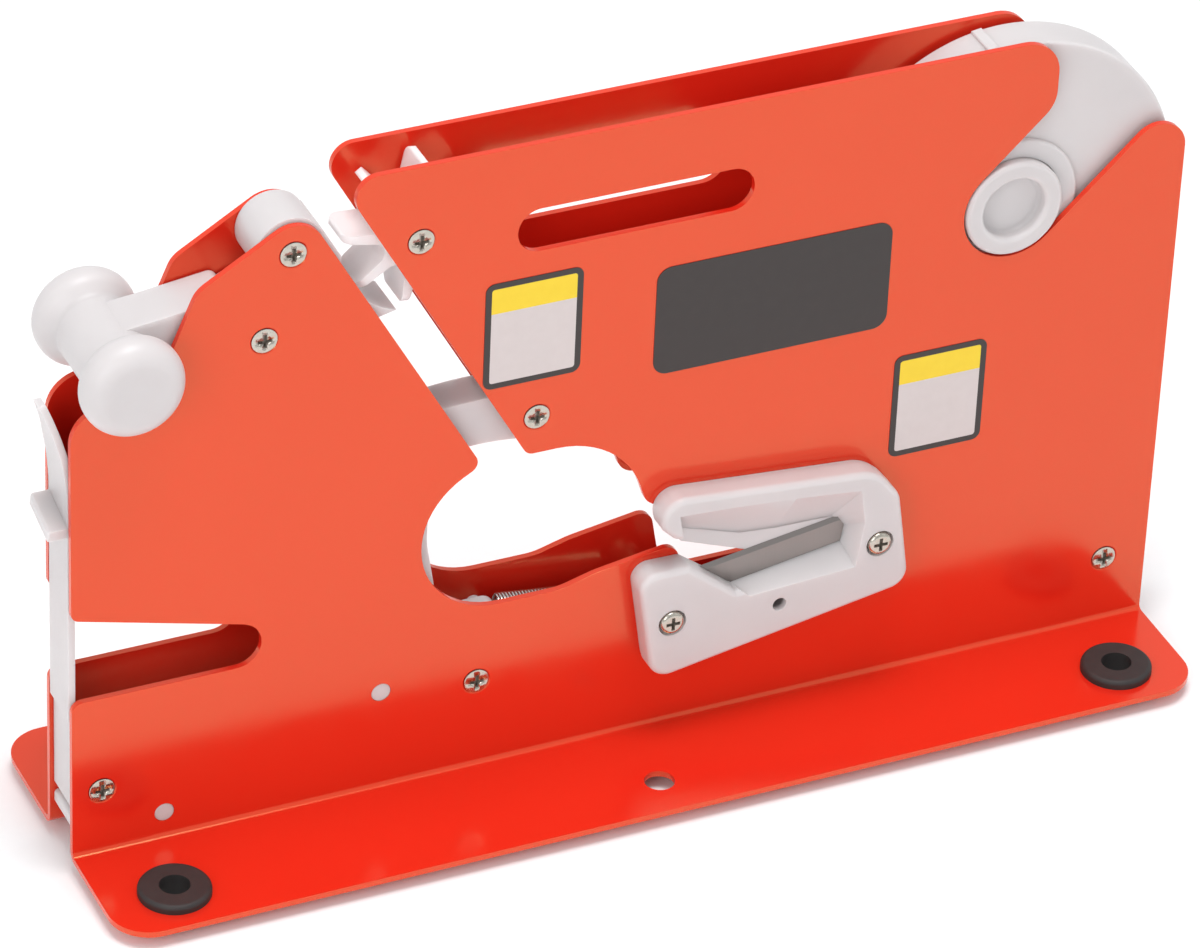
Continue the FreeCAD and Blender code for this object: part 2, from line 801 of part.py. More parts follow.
def knife_holder():
    """Holder on its post, right of the gate, with an arm above the gate that carries the knife."""
    floor = holder_arm_floor()
    middle = floor + holder_arm_height / 2
    top = floor + holder_arm_height
    web_left = knife_post[0] + holder_web_offset
    right = knife_post[0] + holder_width
    foot = knife_post[1] - holder_ring_radius + holder_corner
    corners = [
        (web_left, foot, 0),
        (web_left, floor, 0),
        (on_slot(slot_width + holder_arm_setback, floor)[0], floor, 0),
        (on_slot(slot_width + holder_arm_setback, middle)[0], middle, holder_corner),
        (web_left - holder_ring_radius, top, holder_corner),
        (right, middle, holder_corner),
        (right, foot, holder_corner),
    ]
    half = inner_face - seat_gap
    body = fused([slab(corners, -half, half), rod(knife_post, holder_ring_radius, -half, half)])
    body = body.cut(rod(knife_post, post_radius + thread_gap, -half, half))
    low = floor + knife_rise
    tip = knife_tip()
    slit_right = tip + knife_depth + thread_gap
    slit = block(tip, slit_right, -half, half, low, low + knife_sheet + thread_gap)
    return body.cut(slit)


def knife_tip():
    """Left end of the knife's teeth."""
    return on_slot(slot_width + knife_setback, holder_arm_floor() + knife_rise)[0]


def tape_knife():
    """Toothed strip in the holder's slit, with its teeth towards the bag slot."""
    tip = knife_tip()
    low = holder_arm_floor() + knife_rise
    half = knife_width / 2
    pitch = knife_width / knife_teeth
    points = [vec(tip + knife_depth, half, low), vec(tip + knife_depth, -half, low)]
    for index in range(knife_teeth):
        points.append(vec(tip + knife_tooth_depth, -half + index * pitch, low))
        points.append(vec(tip, -half + (index + 0.5) * pitch, low))
    points.append(vec(tip + knife_tooth_depth, half, low))
    points.append(points[0])
    return Part.Face(Part.makePolygon(points)).extrude(vec(0, 0, knife_sheet))


def base_block():
    """Moulded block between the plates, with two pins into each plate and a slot for the tab lever."""
    half = inner_face - seat_gap
    tower = block_left + block_tower_width
    groove = block_left + block_groove_depth
    corners = [
        (groove + block_lip_floor, block_floor, block_corner),
        (block_left, block_lip_floor, block_corner / 2),
        (block_left, block_lip_top, block_corner / 2),
        (groove, block_lip_top, 0),
        (groove, block_lip_top + block_groove_height, 0),
        (block_left, block_lip_top + block_groove_height, 0),
        (block_left, block_tower_height, block_tower_corner),
        (tower, block_tower_height, block_corner),
        (tower + block_corner, block_height, block_corner / 2),
        (block_right, block_height, block_corner),
        (block_right, block_floor, block_corner),
    ]
    pocket_half = half - block_wall
    pocket_top = block_height - block_wall
    pocket = block(block_pocket_left, block_pocket_right, -pocket_half, pocket_half, 0, pocket_top)
    body = slab(corners, -half, half).cut(pocket)
    pins = [rod(pin_left, pin_radius, -outer_face, outer_face)]
    pins.append(rod(pin_right, pin_radius, -outer_face, outer_face))
    body = fused([body] + pins)
    slot_back = tab_tongue_back() + seat_gap
    reach = tab_knuckle_radius + seat_gap
    slot_left = tab_pivot[0] - reach
    slot_right = tab_pivot[0] + reach
    slot_floor = tab_pivot[1] - reach
    body = body.cut(block(slot_left, slot_right, -half, slot_back, slot_floor, block_tower_height))
    body = body.cut(rod(tab_pivot, tab_pin_radius + thread_gap, -half, half))
    return body.cut(rod(block_post, post_radius + thread_gap, -half, half))


def tab_strip():
    """Upright strip of the tab lever, curled outwards and tapered at its tip."""
    foot_height = block_tower_height + tab_foot_gap
    centre = (-tab_curl_radius, shoulder_height - tab_curl_drop)
    inner_radius = tab_curl_radius + tab_sheet
    inner_end = turned(centre, inner_radius, tab_curl_turn)
    strip = [(0, foot_height, 0)]
    strip += arc_corners(centre, tab_curl_radius, 0, tab_curl_turn, 1)
    strip += [(tab_tip[0], tab_tip[1], 0), (inner_end[0], inner_end[1], 0)]
    strip += arc_corners(centre, inner_radius, tab_curl_turn, 0, 1)
    strip.append((tab_sheet, foot_height, 0))
    half = tab_width / 2
    tip_half = tab_tip_width / 2
    taper_height = tab_tip[1] - tab_taper_length
    taper = [
        (-half, foot_height, 0),
        (-half, taper_height, tab_width),
        (-tip_half, inner_end[1], tip_half - thread_gap),
        (tip_half, inner_end[1], tip_half - thread_gap),
        (half, taper_height, tab_width),
        (half, foot_height, 0),
    ]
    reach = tab_curl_radius
    face = Part.Face(rounded(taper, lambda y, v: vec(-reach, y, v)))
    return slab(strip, -half, half).common(face.extrude(vec(2 * reach, 0, 0)))


def tab_ledge():
    """Finger ledge across the tab lever's outer face, slightly tilted."""
    half = tab_width / 2
    thick = tab_ledge_sheet / 2
    ledge = block(-tab_ledge_reach, tab_sheet / 2, -half, half, -thick, thick)
    rims = [edge for edge in ledge.Edges if edge.BoundBox.XMax < tab_sheet / 2 - tiny]
    ledge = ledge.makeFillet(thick / 2, rims)
    ledge.rotate(vec(0, 0, 0), vec(1, 0, 0), math.degrees(math.atan2(tab_ledge_tilt, tab_width)))
    ledge.translate(vec(0, 0, shoulder_height - tab_ledge_drop))
    return ledge


def tab_tongue_back():
    return -inner_face + tab_tongue_gap + tab_tongue_width


def tab_lever():
    """Thin upright strip with a ledge and a curled tip. A tongue beside the front plate reaches over
    the base block's end wall to its hinge."""
    foot_height = block_tower_height + tab_foot_gap
    arch = foot_height + tab_tongue_rise
    tongue = [
        (0, foot_height, 0),
        (0, arch + tab_sheet, 0),
        (tab_pivot[0] + tab_sheet, arch + tab_sheet / 2, tab_sheet / 2),
        (tab_pivot[0] + tab_knuckle_radius, tab_pivot[1], 0),
        (tab_pivot[0] - tab_knuckle_radius, tab_pivot[1], 0),
        (tab_pivot[0], arch, 0),
        (tab_sheet, arch, 0),
        (tab_sheet, foot_height, 0),
    ]
    back = tab_tongue_back()
    front = back - tab_tongue_width
    shapes = [tab_strip(), tab_ledge(), slab(tongue, front, back)]
    shapes.append(rod(tab_pivot, tab_knuckle_radius, front, back))
    return fused(shapes).cut(rod(tab_pivot, tab_pin_radius + pivot_gap, front, back))


def tab_lever_pin():
    half = inner_face - seat_gap
    return rod(tab_pivot, tab_pin_radius, -half, half)


def blade_corners(margin):
    """Outline of the trimming blade, grown by a margin."""
    lean = math.radians(blade_lean)
    ends = [(-margin, margin), (blade_length + margin, margin)]
    ends += [(blade_length + margin, -blade_width - margin), (-margin, -blade_width - margin)]
    corners = []
    for along, up in ends:
        u = blade_start[0] + along * math.cos(lean) - up * math.sin(lean)
        v = blade_start[1] + along * math.sin(lean) + up * math.cos(lean)
        corners.append((u, v, 0))
    return corners


def guard_seam():
    """Where the guard's cover and blade meet its back, along Y."""
    return -outer_face - guard_back_sheet


def trim_blade():
    """Steel blade on the guard's back, bevelled along its upper edge."""
    seam = guard_seam()
    body = slab(blade_corners(0), seam - blade_sheet, seam)
    top = vec(blade_start[0], seam, blade_start[1])
    wedge = Part.makePolygon([
        top,
        top + vec(0, -blade_sheet, 0),
        top + vec(0, -blade_sheet, -blade_bevel),
        top,
    ])
    wedge = Part.Face(wedge).extrude(vec(blade_length, 0, 0))
    wedge.rotate(top, vec(0, 1, 0), -blade_lean)
    return body.cut(wedge)


def guard_back():
    """Back of the cutter guard, set in all round from the cover. Its mouth narrows to the right."""
    wire = rounded(guard_outer + guard_back_mouth, lambda u, v: vec(u, guard_seam(), v))
    face = Part.Face(wire).makeOffset2D(-guard_step)
    body = face.extrude(vec(0, guard_back_sheet, 0))
    body = body.cut(rod(guard_hole, guard_hole_radius, guard_seam(), -outer_face))
    for centre in guard_posts:
        body = body.cut(rod(centre, screw_radius + thread_gap, guard_seam(), -outer_face))
    return body


def cutter_guard():
    """Cover of the cutter guard: a flared mouth that leads the bag's neck onto the blade."""
    front = -outer_face - guard_depth
    seam = guard_seam()
    body = slab(guard_outer + guard_cover_mouth, front, seam)
    rim = [edge for edge in body.Edges if edge.BoundBox.YMax < front + tiny]
    body = body.makeFillet(guard_round, rim)
    back = rounded([(u, v, 0) for u, v in guard_flare_back], lambda u, v: vec(u, seam, v))
    wide = rounded([(u, v, 0) for u, v in guard_flare_front], lambda u, v: vec(u, front, v))
    body = body.cut(Part.makeLoft([wide, back], True, True))
    body = body.cut(slab(blade_corners(thread_gap), seam - blade_sheet - thread_gap, seam))
    body = body.cut(rod(guard_hole, guard_hole_radius, front, seam))
    body = body.cut(rod(guard_hole, guard_hole_pocket, front + guard_hole_wall, seam))
    for centre in guard_posts:
        body = body.cut(rod(centre, screw_radius + thread_gap, front, seam))
        body = body.cut(rod(centre, guard_sink_radius, front, front + guard_sink))
    return body


def reel_axle():
    """Axle of the reel, which lies loose in the reel seat, with dished ends."""
    half = axle_half_length
    corners = [(half - axle_dish_depth, 0, 0), (half - axle_dish_depth, axle_dish_radius, axle_round)]
    corners += [(half, axle_dish_radius, axle_round), (half, axle_radius, axle_round)]
    corners += [(-half, axle_radius, axle_round), (-half, axle_dish_radius, axle_round)]
    corners += [(-half + axle_dish_depth, axle_dish_radius, axle_round)]
    corners += [(-half + axle_dish_depth, 0, 0)]
    return spun(corners, reel_axis)


def reel_drum():
    """Drum that carries a roll of tape and turns on the axle: flat in front and hollow behind."""
    half = drum_width / 2
    hub_half = inner_face - drum_hub_gap
    bore = axle_radius + pivot_gap
    web = -half + drum_web
    corners = [
        (half, drum_radius, drum_round),
        (half, drum_radius - drum_rim, drum_round),
        (web, drum_radius - drum_rim, drum_web),
        (web, drum_hub_radius, drum_web),
        (hub_half, drum_hub_radius, drum_round),
        (hub_half, bore, 0),
        (-hub_half, bore, 0),
        (-hub_half, drum_hub_radius, drum_round),
        (-half, drum_hub_radius, 0),
        (-half, drum_radius, drum_round),
    ]
    shapes = [spun(corners, reel_axis)]
    for index in range(drum_catches):
        angle = drum_catch_phase + index * 360 / drum_catches
        inner = drum_radius - drum_rim / 2
        outer = drum_radius + drum_catch_height
        wide = drum_catch_width / 2
        catch = block(inner, outer, -half + drum_round, half - drum_round, -wide, wide)
        ridges = [edge for edge in catch.Edges if edge.BoundBox.XMin > outer - tiny]
        catch = catch.makeFillet(drum_catch_height / 2, ridges)
        catch.rotate(vec(0, 0, 0), vec(0, 1, 0), -angle)
        catch.translate(vec(reel_axis[0], 0, reel_axis[1]))
        shapes.append(catch)
    return fused(shapes)


def sheet_label(left, floor, width, height, corner):
    """Thin rounded label on the front plate's face."""
    corners = [
        (left, floor, corner),
        (left, floor + height, corner),
        (left + width, floor + height, corner),
        (left + width, floor, corner),
    ]
    return slab(corners, -outer_face - label_sheet, -outer_face)


def nameplate():
    """Blank nameplate, centred between the upper label and the reel seat."""
    space_left = upper_label_left + label_width
    space_right = reel_axis[0] - seat_radius
    left = (space_left + space_right - nameplate_width) / 2
    floor = plate_height - nameplate_drop - nameplate_height
    return sheet_label(left, floor, nameplate_width, nameplate_height, nameplate_corner)


def upper_label():
    """Blank label above the knife's post."""
    floor = knife_post[1] + upper_label_rise
    return sheet_label(upper_label_left, floor, label_width, label_height, label_corner)


def lower_label():
    """Blank label above the cutter guard."""
    return sheet_label(lower_label_left, lower_label_floor, label_width, label_height, label_corner)


def nodes():
    """Every piece by the name of its node."""
    rear_sunk = plate_posts + guard_posts
    front = side_plate(plate_posts, guard_posts, 0)
    front = front.cut(rod(guard_hole, guard_hole_radius, -outer_face, -inner_face))
    pieces = {
        "front_plate": front,
        "rear_plate": mirrored(side_plate(rear_sunk, [], handle_rear_extra)),
        "spacer_posts": spacer_posts(),
        "plate_screws_front": Part.makeCompound([sunk_screw(c) for c in plate_posts]),
        "plate_screws_rear": Part.makeCompound([mirrored(sunk_screw(c)) for c in rear_sunk]),
        "guard_screws": Part.makeCompound([pan_screw(c) for c in guard_posts]),
        "nose_guide": nose_guide(),
        "star_wheel": star_wheel(),
        "clamp_lever": clamp_lever(),
        "gate_arm": gate_arm(),
        "gate_spring": gate_spring(),
        "knife_holder": knife_holder(),
        "tape_knife": tape_knife(),
        "base_block": base_block(),
        "tab_lever": tab_lever(),
        "tab_lever_pin": tab_lever_pin(),
        "guard_back": guard_back(),
        "cutter_guard": cutter_guard(),
        "trim_blade": trim_blade(),
        "reel_axle": reel_axle(),
        "reel_drum": reel_drum(),
        "nameplate": nameplate(),
        "label_upper": upper_label(),
        "label_lower": lower_label(),
    }
    for depth, y in (("front", -foot_offset), ("rear", foot_offset)):
        for end, u in (("left", foot_inset), ("right", plate_length - foot_inset)):
            pieces["foot_" + depth + "_" + end] = foot(u, y)
    return pieces


def export_all():
    os.makedirs("parts", exist_ok=True)
    for name, shape in nodes().items():
        shape.translate(vec(-origin_u, 0, foot_drop + sheet))
        shape.exportStep("parts/" + name + ".step")
        print(name, len(shape.Solids), round(shape.Volume, 1), shape.isValid())


export_all()
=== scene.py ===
import json
import math
import bmesh
import bpy
from mathutils import Matrix, Vector

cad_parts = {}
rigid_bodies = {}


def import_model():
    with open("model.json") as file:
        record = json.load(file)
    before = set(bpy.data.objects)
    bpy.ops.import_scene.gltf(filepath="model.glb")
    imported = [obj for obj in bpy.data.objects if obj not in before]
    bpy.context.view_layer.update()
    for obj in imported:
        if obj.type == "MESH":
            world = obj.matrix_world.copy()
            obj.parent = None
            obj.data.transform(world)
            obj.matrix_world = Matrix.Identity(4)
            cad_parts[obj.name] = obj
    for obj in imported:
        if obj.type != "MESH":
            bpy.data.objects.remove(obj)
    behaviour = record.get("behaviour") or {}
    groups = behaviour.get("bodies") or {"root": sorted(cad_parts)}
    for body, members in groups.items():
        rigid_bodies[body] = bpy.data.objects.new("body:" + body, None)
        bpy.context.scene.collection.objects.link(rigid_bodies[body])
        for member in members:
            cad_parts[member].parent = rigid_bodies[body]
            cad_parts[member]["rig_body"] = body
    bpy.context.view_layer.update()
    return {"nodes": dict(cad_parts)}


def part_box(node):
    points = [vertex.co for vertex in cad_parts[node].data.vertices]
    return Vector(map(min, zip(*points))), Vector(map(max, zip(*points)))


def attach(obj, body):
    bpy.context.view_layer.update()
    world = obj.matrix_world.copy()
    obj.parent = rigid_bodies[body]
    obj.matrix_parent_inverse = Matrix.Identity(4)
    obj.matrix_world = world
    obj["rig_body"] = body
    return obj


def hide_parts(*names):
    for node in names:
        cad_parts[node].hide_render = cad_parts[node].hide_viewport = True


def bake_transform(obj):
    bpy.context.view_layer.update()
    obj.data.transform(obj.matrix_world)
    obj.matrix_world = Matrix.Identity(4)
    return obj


# A bag neck sealer: two powder-coated steel plates with white plastic workings between them.
# Lengths are in metres unless a name says millimetres.
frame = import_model()

MM = 0.001

# Edge rounding of the pieces, by how each is made
PLATE_EDGE = 0.45 * MM
PLASTIC_EDGE = 0.3 * MM
METAL_EDGE = 0.08 * MM
SCREW_EDGE = 0.16 * MM
EDGE_STEPS = 2

# Mesh cleaning: the angle from which an edge is sharp, the angle up to which facets are one flat
# face, the distances under which points are merged and slivers dropped, and the y of a normal
# under which a face is the front of a label
SHARP = math.radians(28)
FLAT = math.radians(0.2)
MERGE = 0.001 * MM
SLIVER = 0.0005 * MM
FRONT = -0.9

# Gate spring: a closed coil between the gate's ear and the cutter guard's left post. WIRE, COIL,
# EYE and LOOP are radii, LEAD is the straight wire between a ring and the coil, and FOLLOWING is
# the length next to the ear that moves with the gate.
EAR = Vector((-29.739, 0, 39.9)) * MM
POST = Vector((9.861, 0, 34.6)) * MM
WIRE = 0.27 * MM
COIL = 2.2 * MM
EYE = 1.6 * MM
LOOP = 3.5 * MM
LEAD = 3.0 * MM
TURNS = 38
TURN_STEPS = 18
RING_STEPS = 36
WIRE_SIDES = 8

# Labels: the dark border round each one, and the height of its yellow header
LABEL_BORDER = 1.35 * MM
LABEL_HEADER = 7.3 * MM

# Screws: the cross recess that sinks from the top of each head, and the rim that is drawn in. A
# recess face is a wall (the y of its normal is under STEEP) or lies deeper than RECESS_SHELF.
RECESS_RADIUS = 1.75 * MM
RECESS_TOP = 0.13 * MM
RECESS_SHELF = 0.5 * MM
RECESS_FLOOR = 1.3 * MM
STEEP = 0.6
RIM_RADIUS = 2.85 * MM
RIM_GAP = 0.2 * MM

# Patterns: the sockets of a colour mix node, the values that a noise mostly takes, the slope of
# the trimming blade, and the scale along its grinding lines, which draws them out across it
MIX_FACTOR = 0
MIX_A = 6
MIX_B = 7
MIX_RESULT = 2
NOISE_SPAN = {"From Min": 0.3, "From Max": 0.7}
BLADE_SLOPE = math.radians(9.1)
ALONG_LINES = 0.04

# Light panels (name, place, size, power in watts), the point they face, the surround, and how
# far the floor reaches from the middle
PANELS = (
    ("top_panel", Vector((0.0, -0.12, 1.35)), 0.55, 9.6),
    ("left_panel", Vector((-0.75, -0.65, 0.55)), 0.5, 2.7),
    ("right_panel", Vector((1.2, -0.9, 0.9)), 0.9, 0.8),
)
LIT_POINT = Vector((0, 0, 0.07))
SURROUND = "#F4F6F8"
SURROUND_STRENGTH = 0.74
FLOOR_REACH = 4

# Camera: its sensor and lens in millimetres, its place, and the directions to its right and ahead
SENSOR = 36.0
LENS = 211.2
CAMERA_PLACE = Vector((-0.5246, -1.0998, 0.9004))
CAMERA_RIGHT = Vector((0.9134, -0.4052, 0.038))
CAMERA_AHEAD = Vector((0.3541, 0.7453, -0.5649))


def linear(code):
    """sRGB hex colour as linear RGBA."""
    channels = [int(code[place:place + 2], 16) / 255 for place in (1, 3, 5)]
    curve = [c / 12.92 if c <= 0.04045 else ((c + 0.055) / 1.055) ** 2.4 for c in channels]
    return (*curve, 1.0)


def per_metre(millimetres):
    """Pattern scale for a feature of that real size."""
    return 1 / (millimetres * MM)


def add(tree, kind, settings=None, links=None):
    """Adds a node with its settings (properties or input values) and its links."""
    item = tree.nodes.new(kind)
    for key, value in (settings or {}).items():
        if isinstance(key, int) or key in item.inputs:
            item.inputs[key].default_value = value
        else:
            setattr(item, key, value)
    for key, socket in (links or {}).items():
        tree.links.new(socket, item.inputs[key])
    return item


def blank_material(name):
    material = bpy.data.materials.new(name)
    material.use_nodes = True
    material.node_tree.nodes.clear()
    return material, material.node_tree


def powder_coat():
    """Polyester powder coat, sprayed on steel and baked. A glossy crimson skin that reflects warmly
    and more strongly than plain resin, so white surroundings turn it orange, with a faint orange
    peel and a slow drift in its shade."""
    material, tree = blank_material("powder_coated_steel")
    place = add(tree, "ShaderNodeTexCoord").outputs["Object"]
    drift = add(tree, "ShaderNodeTexNoise", {"Scale": per_metre(60), "Detail": 2.0}, {"Vector": place})
    shade = add(tree, "ShaderNodeMix",
                {"data_type": "RGBA", MIX_A: linear("#DC2416"), MIX_B: linear("#E22A1A")},
                {MIX_FACTOR: drift.outputs["Fac"]})
    peel = add(tree, "ShaderNodeTexNoise", {"Scale": per_metre(2.4), "Detail": 1.0}, {"Vector": place})
    flow = add(tree, "ShaderNodeTexNoise", {"Scale": per_metre(9), "Detail": 1.0}, {"Vector": place})
    gloss = add(tree, "ShaderNodeMapRange", {**NOISE_SPAN, "To Min": 0.15, "To Max": 0.19},
                {"Value": flow.outputs["Fac"]})
    bump = add(tree, "ShaderNodeBump", {"Strength": 0.22, "Distance": 0.03 * MM},
               {"Height": peel.outputs["Fac"]})
    shader = add(tree, "ShaderNodeBsdfPrincipled",
                 {"IOR": 1.8, "Specular Tint": linear("#FFFCB4")},
                 {"Base Color": shade.outputs[MIX_RESULT], "Roughness": gloss.outputs["Result"],
                  "Normal": bump.outputs["Normal"]})
    add(tree, "ShaderNodeOutputMaterial", {}, {"Surface": shader.outputs["BSDF"]})
    return material


def moulded_acetal(name, dark, light):
    """Acetal, injection-moulded: milky white, a little translucent, with a satin skin and faint
    clouding where the melt flowed."""
    material, tree = blank_material(name)
    place = add(tree, "ShaderNodeTexCoord").outputs["Object"]
    clouds = add(tree, "ShaderNodeTexNoise", {"Scale": per_metre(14), "Detail": 3.0}, {"Vector": place})
    shade = add(tree, "ShaderNodeMix",
                {"data_type": "RGBA", MIX_A: linear(dark), MIX_B: linear(light)},
                {MIX_FACTOR: clouds.outputs["Fac"]})
    # The mould's real grain is about 0.05 mm, drawn at 0.5 mm so that it shows.
    grain = add(tree, "ShaderNodeTexNoise", {"Scale": per_metre(0.5), "Detail": 2.0}, {"Vector": place})
    gloss = add(tree, "ShaderNodeMapRange", {**NOISE_SPAN, "To Min": 0.34, "To Max": 0.44},
                {"Value": grain.outputs["Fac"]})
    bump = add(tree, "ShaderNodeBump", {"Strength": 0.2, "Distance": 0.01 * MM},
               {"Height": grain.outputs["Fac"]})
    shader = add(tree, "ShaderNodeBsdfPrincipled",
                 {"IOR": 1.48, "Subsurface Weight": 0.6, "Subsurface Radius": (1.0, 0.95, 0.92),
                  "Subsurface Scale": 4.0 * MM},
                 {"Base Color": shade.outputs[MIX_RESULT], "Roughness": gloss.outputs["Result"],
                  "Normal": bump.outputs["Normal"]})
    add(tree, "ShaderNodeOutputMaterial", {}, {"Surface": shader.outputs["BSDF"]})
    return material


def grommet_rubber():
    """Nitrile rubber, press-moulded: near black and matt, with a grey bloom in patches."""
    material, tree = blank_material("moulded_rubber")
    place = add(tree, "ShaderNodeTexCoord").outputs["Object"]
    bloom = add(tree, "ShaderNodeTexNoise", {"Scale": per_metre(3), "Detail": 4.0}, {"Vector": place})
    shade = add(tree, "ShaderNodeMix",
                {"data_type": "RGBA", MIX_A: linear("#1F1B1B"), MIX_B: linear("#332E2D")},
                {MIX_FACTOR: bloom.outputs["Fac"]})
    # The mould's real grain is about 0.1 mm, drawn at 0.4 mm so that it shows.
    grain = add(tree, "ShaderNodeTexNoise", {"Scale": per_metre(0.4), "Detail": 2.0}, {"Vector": place})
    bump = add(tree, "ShaderNodeBump", {"Strength": 0.5, "Distance": 0.04 * MM},
               {"Height": grain.outputs["Fac"]})
    shader = add(tree, "ShaderNodeBsdfPrincipled", {"IOR": 1.52, "Roughness": 0.62},
                 {"Base Color": shade.outputs[MIX_RESULT], "Normal": bump.outputs["Normal"]})
    add(tree, "ShaderNodeOutputMaterial", {}, {"Surface": shader.outputs["BSDF"]})
    return material


def nickel_plate():
    """Nickel plate on screw steel: a bright warm metal, slightly hazy, with tiny pits."""
    material, tree = blank_material("nickel_plated_steel")
    place = add(tree, "ShaderNodeTexCoord").outputs["Object"]
    haze = add(tree, "ShaderNodeTexNoise", {"Scale": per_metre(0.8), "Detail": 3.0}, {"Vector": place})
    shade = add(tree, "ShaderNodeMix",
                {"data_type": "RGBA", MIX_A: linear("#B3AC9F"), MIX_B: linear("#CDC8BE")},
                {MIX_FACTOR: haze.outputs["Fac"]})
    gloss = add(tree, "ShaderNodeMapRange", {**NOISE_SPAN, "To Min": 0.16, "To Max": 0.3},
                {"Value": haze.outputs["Fac"]})
    bump = add(tree, "ShaderNodeBump", {"Strength": 0.15, "Distance": 0.02 * MM},
               {"Height": haze.outputs["Fac"]})
    shader = add(tree, "ShaderNodeBsdfPrincipled", {"Metallic": 1.0},
                 {"Base Color": shade.outputs[MIX_RESULT], "Roughness": gloss.outputs["Result"],
                  "Normal": bump.outputs["Normal"]})
    add(tree, "ShaderNodeOutputMaterial", {}, {"Surface": shader.outputs["BSDF"]})
    return material


def ground_steel():
    """Hardened blade steel, ground across its width: a grey satin metal with fine cross lines."""
    material, tree = blank_material("ground_blade_steel")
    place = add(tree, "ShaderNodeTexCoord").outputs["Object"]
    turned = add(tree, "ShaderNodeMapping",
                 {"Rotation": (0, BLADE_SLOPE, 0), "Scale": (1.0, 1.0, ALONG_LINES)},
                 {"Vector": place})
    # Real grinding lines are about 0.05 mm apart, drawn at 0.3 mm so that they show.
    lines = add(tree, "ShaderNodeTexNoise", {"Scale": per_metre(0.3), "Detail": 3.0},
                {"Vector": turned.outputs["Vector"]})
    shade = add(tree, "ShaderNodeMix",
                {"data_type": "RGBA", MIX_A: linear("#8B8582"), MIX_B: linear("#98928F")},
                {MIX_FACTOR: lines.outputs["Fac"]})
    gloss = add(tree, "ShaderNodeMapRange", {**NOISE_SPAN, "To Min": 0.3, "To Max": 0.5},
                {"Value": lines.outputs["Fac"]})
    bump = add(tree, "ShaderNodeBump", {"Strength": 0.3, "Distance": 0.01 * MM},
               {"Height": lines.outputs["Fac"]})
    shader = add(tree, "ShaderNodeBsdfPrincipled", {"Metallic": 1.0},
                 {"Base Color": shade.outputs[MIX_RESULT], "Roughness": gloss.outputs["Result"],
                  "Normal": bump.outputs["Normal"]})
    add(tree, "ShaderNodeOutputMaterial", {}, {"Surface": shader.outputs["BSDF"]})
    return material


def painted_recess_shade():
    """Driver recess, punched: a dull, darker brown-grey skin with a mottled tone, painted as the shade
    inside each cross.
    """
    material, tree = blank_material("recess_painted_shade")
    place = add(tree, "ShaderNodeTexCoord").outputs["Object"]
    mottle = add(tree, "ShaderNodeTexNoise", {"Scale": per_metre(0.5), "Detail": 2.0}, {"Vector": place})
    shade = add(tree, "ShaderNodeMix",
                {"data_type": "RGBA", MIX_A: linear("#6E655C"), MIX_B: linear("#A0968A")},
                {MIX_FACTOR: mottle.outputs["Fac"]})
    shader = add(tree, "ShaderNodeBsdfPrincipled", {"Metallic": 0.3, "Roughness": 0.45},
                 {"Base Color": shade.outputs[MIX_RESULT]})
    add(tree, "ShaderNodeOutputMaterial", {}, {"Surface": shader.outputs["BSDF"]})
    return material


def spring_wire():
    """Drawn and zinc-plated spring wire: a bright metal, so that each turn glints between gaps."""
    material, tree = blank_material("drawn_spring_wire")
    place = add(tree, "ShaderNodeTexCoord").outputs["Object"]
    haze = add(tree, "ShaderNodeTexNoise", {"Scale": per_metre(0.6), "Detail": 2.0}, {"Vector": place})
    shade = add(tree, "ShaderNodeMix",
                {"data_type": "RGBA", MIX_A: linear("#C9C6C2"), MIX_B: linear("#EDEBE8")},
                {MIX_FACTOR: haze.outputs["Fac"]})
    shader = add(tree, "ShaderNodeBsdfPrincipled", {"Metallic": 1.0, "Roughness": 0.24},
                 {"Base Color": shade.outputs[MIX_RESULT]})
    add(tree, "ShaderNodeOutputMaterial", {}, {"Surface": shader.outputs["BSDF"]})
    return material


def film(name, dark, light, roughness):
    """Polyester film, printed on its back and bonded down: an even colour under a satin face with
    a fine grain from the coating."""
    material, tree = blank_material(name)
    place = add(tree, "ShaderNodeTexCoord").outputs["Object"]
    ink = add(tree, "ShaderNodeTexNoise", {"Scale": per_metre(2.5), "Detail": 3.0}, {"Vector": place})
    shade = add(tree, "ShaderNodeMix",
                {"data_type": "RGBA", MIX_A: linear(dark), MIX_B: linear(light)},
                {MIX_FACTOR: ink.outputs["Fac"]})
    # The coating's real grain is under 0.05 mm, drawn at 0.3 mm so that it shows.
    grain = add(tree, "ShaderNodeTexNoise", {"Scale": per_metre(0.3), "Detail": 1.0}, {"Vector": place})
    bump = add(tree, "ShaderNodeBump", {"Strength": 0.2, "Distance": 0.01 * MM},
               {"Height": grain.outputs["Fac"]})
    shader = add(tree, "ShaderNodeBsdfPrincipled", {"IOR": 1.5, "Roughness": roughness},
                 {"Base Color": shade.outputs[MIX_RESULT], "Normal": bump.outputs["Normal"]})
    add(tree, "ShaderNodeOutputMaterial", {}, {"Surface": shader.outputs["BSDF"]})
    return material


def studio_paper():
    """Matt white background paper with a barely visible tooth."""
    material, tree = blank_material("background_paper")
    place = add(tree, "ShaderNodeTexCoord").outputs["Object"]
    tooth = add(tree, "ShaderNodeTexNoise", {"Scale": per_metre(2), "Detail": 2.0}, {"Vector": place})
    shade = add(tree, "ShaderNodeMix",
                {"data_type": "RGBA", MIX_A: linear("#FBFBFB"), MIX_B: linear("#FEFEFE")},
                {MIX_FACTOR: tooth.outputs["Fac"]})
    shader = add(tree, "ShaderNodeBsdfPrincipled", {"Roughness": 0.9},
                 {"Base Color": shade.outputs[MIX_RESULT]})
    add(tree, "ShaderNodeOutputMaterial", {}, {"Surface": shader.outputs["BSDF"]})
    return material


